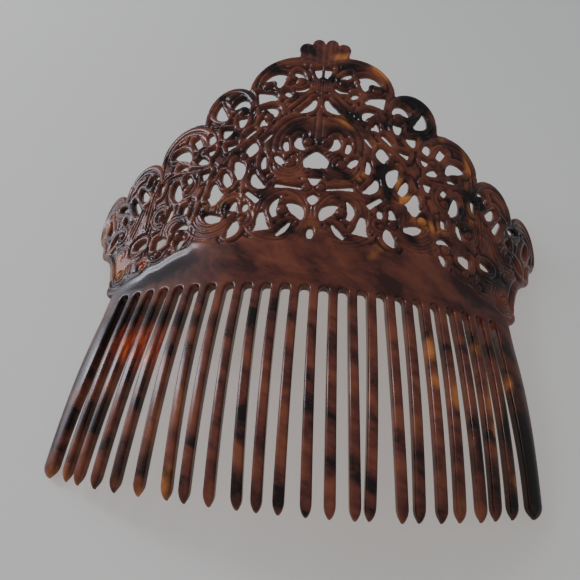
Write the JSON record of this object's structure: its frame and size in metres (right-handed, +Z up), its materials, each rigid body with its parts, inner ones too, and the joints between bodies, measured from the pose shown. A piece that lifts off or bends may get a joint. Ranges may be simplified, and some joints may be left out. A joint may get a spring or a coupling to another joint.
{
  "type": "mantilla comb",
  "caption": "Curved one-piece hair comb with long parallel teeth under a tall pierced scrollwork gallery with a scalloped edge.",
  "frame": {"origin": "middle of the bounding box on the surface that the comb lies on", "axes": "+X to the right seen from above with the teeth towards the viewer, +Y from the teeth to the gallery, +Z up out of the convex side"},
  "size_m": [0.2, 0.206, 0.066],
  "materials": {
    "celluloid": "polished imitation tortoiseshell, dark brown with red-brown and amber patches"
  },
  "bodies": {
    "root": {"comb": "celluloid"}
  },
  "joints": []
}
